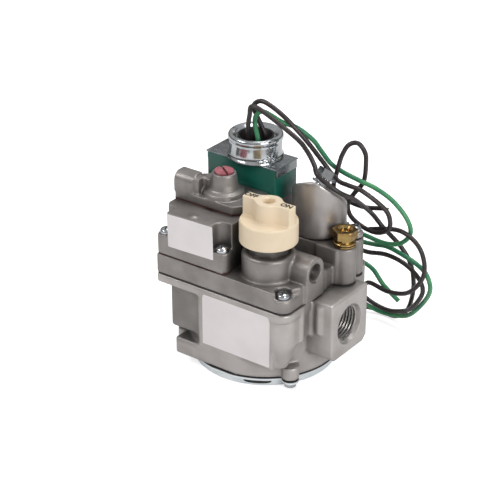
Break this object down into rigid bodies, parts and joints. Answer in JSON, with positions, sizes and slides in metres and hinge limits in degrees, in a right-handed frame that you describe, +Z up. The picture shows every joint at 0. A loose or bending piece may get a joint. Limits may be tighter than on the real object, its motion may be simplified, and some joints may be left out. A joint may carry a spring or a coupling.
{
  "type": "combination gas control valve",
  "caption": "Combination gas valve: square cast body, push and turn knob, servo regulator tower, green solenoid box with conduit hub and loose leads, magnet dome and brass pilot fitting.",
  "frame": {"origin": "middle of the pressed bottom plate, on the resting plane", "axes": "+X along the pipe from the inlet to the outlet, +Y from the labelled face to the back, +Z up through the knob"},
  "size_m": [0.1258, 0.1143, 0.1426],
  "materials": {
    "body_casting": "die cast, satin",
    "upper_casting": "die cast, satin",
    "block_casting": "die cast, satin",
    "cover_casting": "die cast, satin",
    "dome_casting": "die cast, smooth satin",
    "zinc": "bright zinc plate",
    "zinc_blue": "pressed sheet, bluish zinc",
    "steel": "plain steel",
    "spring_steel": "drawn wire",
    "gasket": "dark gasket sheet",
    "red_sheet": "reddish brown sheet",
    "rubber": "black rubber",
    "knob": "cream moulded plastic",
    "stem": "grey moulded plastic",
    "bonnet": "grey sintered metal",
    "brass": "turned brass",
    "cap": "red moulded plastic",
    "coil_box": "dark green paint, satin",
    "winding": "varnished copper winding",
    "bushing": "black insert",
    "label": "bare label",
    "lead_black": "black insulation",
    "lead_green": "green insulation",
    "magnet": "dark magnet steel"
  },
  "bodies": {
    "housing": {"lower_body": "body_casting", "inlet_screen": "steel", "bottom_plate": "zinc_blue", "bottom_screws": "zinc", "main_diaphragm": "rubber", "main_spring": "spring_steel", "body_gasket": "gasket", "upper_casting": "upper_casting", "corner_screws": "zinc", "stem_bonnet": "bonnet", "stem_spring": "spring_steel", "lever_pin": "steel", "magnet_dome": "dome_casting", "dome_screws": "zinc", "magnet": "magnet", "safety_spring": "spring_steel", "couple_socket": "zinc", "couple_nut": "zinc", "regulator_gasket": "red_sheet", "regulator_block": "block_casting", "regulator_screws": "zinc", "regulator_diaphragm": "red_sheet", "regulator_cover": "cover_casting", "cover_bolts": "zinc", "regulator_spring": "spring_steel", "coil_box": "coil_box", "top_plate": "zinc", "conduit_hub": "zinc", "lead_bushing": "bushing", "coil_winding": "winding", "plunger_tube": "brass", "pole_piece": "steel", "plunger_spring": "spring_steel", "pilot_fitting": "brass", "pilot_nut": "brass", "rating_label": "label", "notice_label": "label", "lead_black_front": "lead_black", "lead_black_loop": "lead_black", "lead_green": "lead_green"},
    "cock_plug": {"cock_plug": "brass"},
    "knob": {"knob": "knob", "knob_stem": "stem"},
    "reset_lever": {"reset_lever": "steel"},
    "safety_valve": {"safety_disc": "rubber", "safety_armature": "steel"},
    "main_valve": {"valve_stem": "brass", "valve_disc": "steel", "valve_pad": "rubber", "diaphragm_backing": "steel"},
    "plunger": {"plunger": "steel", "plunger_pad": "rubber"},
    "regulator_piston": {"regulator_piston": "steel", "regulator_pad": "rubber"},
    "adjusting_screw": {"adjusting_screw": "brass"},
    "seal_cap": {"seal_cap": "cap"}
  },
  "joints": [
    {"name": "cock_turn", "type": "hinge", "parent": "housing", "child": "cock_plug", "pos_m": [0.0189, -0.024, 0.06775], "axis": [0, 0, 1], "range_deg": [-90, 90]},
    {"name": "knob_press", "type": "slide", "parent": "cock_plug", "child": "knob", "axis": [0, 0, -1], "range_m": [0, 0.003], "stiffness_N_per_m": 400, "springref_m": -0.002, "deforming": ["stem_spring"]},
    {"name": "lever_tilt", "type": "hinge", "parent": "housing", "child": "reset_lever", "pos_m": [0.02095, -0.00355, 0.0563], "axis": [1, 0, 0], "range_deg": [0, 8.6]},
    {"name": "safety_lift", "type": "slide", "parent": "housing", "child": "safety_valve", "axis": [0, 0, 1], "range_m": [0, 0.003], "deforming": ["safety_spring"]},
    {"name": "main_valve_lift", "type": "slide", "parent": "housing", "child": "main_valve", "axis": [0, 0, -1], "range_m": [0, 0.002], "stiffness_N_per_m": 300, "springref_m": -0.002, "deforming": ["main_spring", "main_diaphragm"]},
    {"name": "plunger_lift", "type": "slide", "parent": "housing", "child": "plunger", "axis": [0, 0, 1], "range_m": [0, 0.002], "stiffness_N_per_m": 200, "springref_m": -0.001, "deforming": ["plunger_spring"]},
    {"name": "regulator_lift", "type": "slide", "parent": "housing", "child": "regulator_piston", "axis": [0, 0, 1], "range_m": [0, 0.001], "stiffness_N_per_m": 200, "springref_m": -0.001, "deforming": ["regulator_spring", "regulator_diaphragm"]},
    {"name": "adjuster_turn", "type": "hinge", "parent": "housing", "child": "adjusting_screw", "pos_m": [-0.0178, -0.0135, 0.105], "axis": [0, 0, 1], "range_deg": [-180, 180]},
    {"name": "cap_turn", "type": "hinge", "parent": "housing", "child": "seal_cap", "pos_m": [-0.0178, -0.0135, 0.109], "axis": [0, 0, 1], "range_deg": [-180, 180]}
  ],
  "couplings": [
    {"joint": "lever_tilt", "follows": "knob_press", "rad_per_m": 48.9},
    {"joint": "safety_lift", "follows": "knob_press", "ratio": 1}
  ]
}
